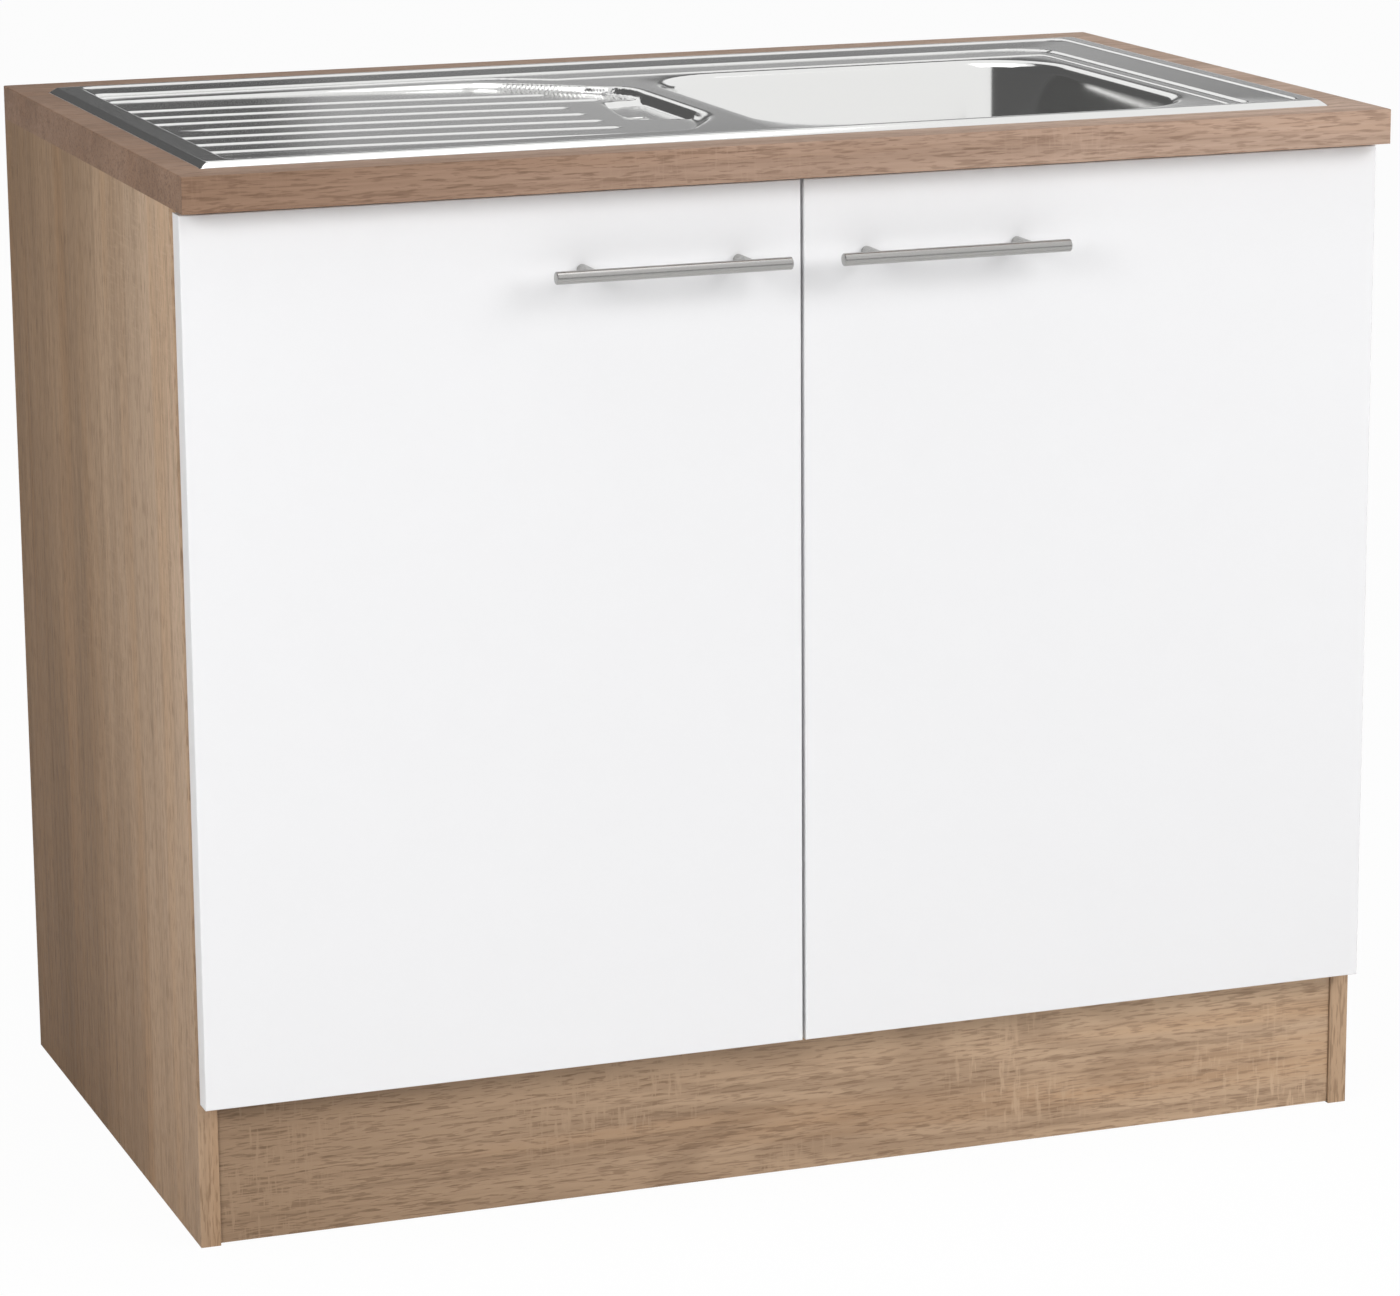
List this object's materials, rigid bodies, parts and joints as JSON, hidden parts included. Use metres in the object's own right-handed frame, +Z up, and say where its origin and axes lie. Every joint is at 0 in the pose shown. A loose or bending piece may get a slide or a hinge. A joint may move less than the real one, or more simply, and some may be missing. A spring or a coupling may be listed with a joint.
{
  "type": "kitchen sink unit",
  "caption": "Floor-standing kitchen sink unit: oak-decor carcass and worktop, white hinged doors with bar handles, and an inset steel sink with a ribbed drainer and a bowl.",
  "frame": {"origin": "centre of the unit's own box, at floor level", "axes": "+X to the right seen from the front, +Y from the doors to the wall behind, +Z up"},
  "size_m": [1, 0.617, 0.8545],
  "materials": {
    "oak_board": "oak decor, satin",
    "oak_worktop": "oak decor laminate, satin",
    "white_board": "white faced board, slight sheen",
    "sink_steel": "pressed stainless steel, satin",
    "handle_steel": "brushed",
    "fitting_steel": "nickel plated",
    "screw_steel": "zinc plated",
    "cam_zinc": "die cast",
    "beech": "plain",
    "white_plastic": "moulded",
    "grey_rubber": "plain",
    "black_foam": "foam strip",
    "clear_bumper": "soft dot"
  },
  "bodies": {
    "carcass": {"side_panel_left": "oak_board", "side_panel_right": "oak_board", "bottom_panel": "oak_board", "front_rail": "oak_board", "rear_rail_upper": "oak_board", "rear_rail_lower": "oak_board", "plinth_board": "oak_board", "corner_blocks": "beech", "cam_discs": "cam_zinc", "cam_bolts": "screw_steel", "dowels": "beech", "worktop": "oak_worktop", "worktop_brackets": "fitting_steel", "carcass_screws": "screw_steel", "sink_pressing": "sink_steel", "sink_seal": "black_foam", "clip_lugs": "fitting_steel", "clip_claws": "fitting_steel", "clip_screws": "screw_steel", "strainer_flange": "sink_steel", "housing_gasket": "grey_rubber", "strainer_housing": "white_plastic", "strainer_screw": "screw_steel", "overflow_gasket": "grey_rubber", "overflow_elbow": "white_plastic", "overflow_pipe": "white_plastic", "overflow_nuts": "white_plastic", "hinge_arms_left": "fitting_steel", "hinge_arm_axles_left": "fitting_steel", "hinge_plates_left": "fitting_steel", "hinge_arm_screws_left": "screw_steel", "hinge_arms_right": "fitting_steel", "hinge_arm_axles_right": "fitting_steel", "hinge_plates_right": "fitting_steel", "hinge_arm_screws_right": "screw_steel"},
    "basket": {"strainer_basket": "sink_steel"},
    "left_outer_links": {"hinge_outer_links_left": "fitting_steel"},
    "left_inner_links": {"hinge_inner_links_left": "fitting_steel"},
    "left_door": {"door_left": "white_board", "handle_bar_left": "handle_steel", "handle_posts_left": "handle_steel", "handle_screws_left": "screw_steel", "door_bumpers_left": "clear_bumper", "hinge_cups_left": "fitting_steel", "hinge_cup_axles_left": "fitting_steel", "hinge_cup_screws_left": "screw_steel"},
    "right_outer_links": {"hinge_outer_links_right": "fitting_steel"},
    "right_inner_links": {"hinge_inner_links_right": "fitting_steel"},
    "right_door": {"door_right": "white_board", "handle_bar_right": "handle_steel", "handle_posts_right": "handle_steel", "handle_screws_right": "screw_steel", "door_bumpers_right": "clear_bumper", "hinge_cups_right": "fitting_steel", "hinge_cup_axles_right": "fitting_steel", "hinge_cup_screws_right": "screw_steel"}
  },
  "joints": [
    {"name": "left_outer_link_pivot", "type": "hinge", "parent": "carcass", "child": "left_outer_links", "pos_m": [-0.46685, -0.2289, 0.4685], "axis": [0, 0, 1], "range_deg": [0, 29.3]},
    {"name": "left_door_hinge", "type": "hinge", "parent": "left_outer_links", "child": "left_door", "pos_m": [-0.489, -0.2547, 0.4685], "axis": [0, 0, -1], "range_deg": [0, 124.3]},
    {"name": "left_inner_link_pivot", "type": "hinge", "parent": "carcass", "child": "left_inner_links", "pos_m": [-0.454, -0.2505, 0.4685], "axis": [0, 0, 1], "range_deg": [0, 34.86]},
    {"name": "right_outer_link_pivot", "type": "hinge", "parent": "carcass", "child": "right_outer_links", "pos_m": [0.46685, -0.2289, 0.4685], "axis": [0, 0, -1], "range_deg": [0, 29.3]},
    {"name": "right_door_hinge", "type": "hinge", "parent": "right_outer_links", "child": "right_door", "pos_m": [0.489, -0.2547, 0.4685], "axis": [0, 0, 1], "range_deg": [0, 124.3]},
    {"name": "right_inner_link_pivot", "type": "hinge", "parent": "carcass", "child": "right_inner_links", "pos_m": [0.454, -0.2505, 0.4685], "axis": [0, 0, -1], "range_deg": [0, 34.86]},
    {"name": "basket_lift", "type": "slide", "parent": "carcass", "child": "basket", "axis": [0, 0, 1], "range_m": [0, 0.08]}
  ],
  "couplings": [
    {"joint": "left_outer_link_pivot", "follows": "left_door_hinge", "ratio": 0.23574},
    {"joint": "left_inner_link_pivot", "follows": "left_door_hinge", "ratio": 0.28043},
    {"joint": "right_outer_link_pivot", "follows": "right_door_hinge", "ratio": 0.23574},
    {"joint": "right_inner_link_pivot", "follows": "right_door_hinge", "ratio": 0.28043}
  ]
}
